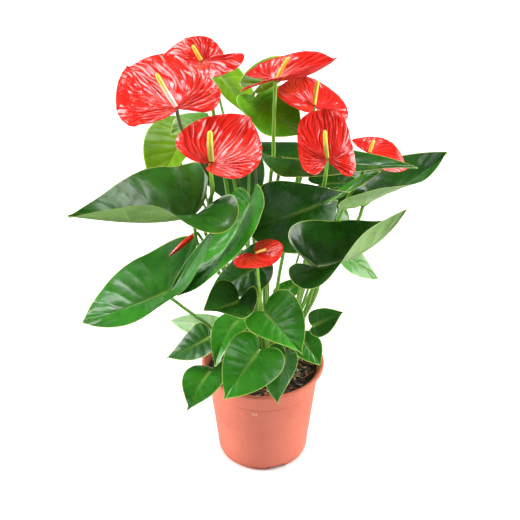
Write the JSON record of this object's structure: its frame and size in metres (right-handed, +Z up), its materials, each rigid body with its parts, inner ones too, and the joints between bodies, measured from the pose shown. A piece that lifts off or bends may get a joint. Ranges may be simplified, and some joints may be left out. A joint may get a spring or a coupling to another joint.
{
  "type": "potted anthurium",
  "caption": "Flowering anthurium with glossy heart-shaped leaves and red spathes with yellow spadices, growing in a terracotta-coloured plastic grow pot.",
  "frame": {"origin": "middle of the bounding box in plan, at the level of the pot's foot ring (z = 0, the surface it stands on)", "axes": "+Z up along the pot's axis; -Y towards the side that the flowers and the picture's camera face; +X to the viewer's right"},
  "size_m": [0.3356, 0.2688, 0.4296],
  "materials": {
    "pot_plastic": "satin",
    "peat": "rough, moist",
    "leaf_green": "glossy, waxy",
    "young_leaf": "glossy, waxy",
    "spathe_red": "high gloss, waxy",
    "spadix_yellow": "fine bumps, matt",
    "stalk_green": "satin"
  },
  "bodies": {
    "root": {"pot": "pot_plastic", "soil": "peat", "leaf_1": "leaf_green", "leaf_2": "leaf_green", "leaf_3": "young_leaf", "leaf_4": "young_leaf", "leaf_5": "young_leaf", "leaf_6": "young_leaf", "leaf_7": "leaf_green", "leaf_8": "leaf_green", "leaf_9": "leaf_green", "leaf_10": "young_leaf", "leaf_11": "leaf_green", "leaf_12": "leaf_green", "leaf_13": "leaf_green", "leaf_14": "young_leaf", "leaf_15": "leaf_green", "leaf_16": "leaf_green", "leaf_17": "leaf_green", "leaf_18": "leaf_green", "leaf_19": "leaf_green", "leaf_20": "leaf_green", "leaf_21": "leaf_green", "leaf_22": "young_leaf", "leaf_23": "leaf_green", "leaf_24": "leaf_green", "leaf_25": "young_leaf", "leaf_26": "leaf_green", "leaf_27": "young_leaf", "leaf_28": "young_leaf", "leaf_29": "leaf_green", "leaf_30": "leaf_green", "leaf_31": "leaf_green", "leaf_32": "leaf_green", "spathe_1": "spathe_red", "spathe_2": "spathe_red", "spathe_3": "spathe_red", "spathe_4": "spathe_red", "spathe_5": "spathe_red", "spathe_6": "spathe_red", "spathe_7": "spathe_red", "spathe_8": "spathe_red", "spathe_9": "spathe_red", "spadix_1": "spadix_yellow", "spadix_2": "spadix_yellow", "spadix_3": "spadix_yellow", "spadix_4": "spadix_yellow", "spadix_5": "spadix_yellow", "spadix_6": "spadix_yellow", "spadix_7": "spadix_yellow", "spadix_8": "spadix_yellow", "peduncle_1": "stalk_green", "peduncle_2": "stalk_green", "peduncle_3": "stalk_green", "peduncle_4": "stalk_green", "peduncle_5": "stalk_green", "peduncle_6": "stalk_green", "peduncle_7": "stalk_green", "peduncle_8": "stalk_green", "peduncle_9": "stalk_green"}
  },
  "joints": []
}
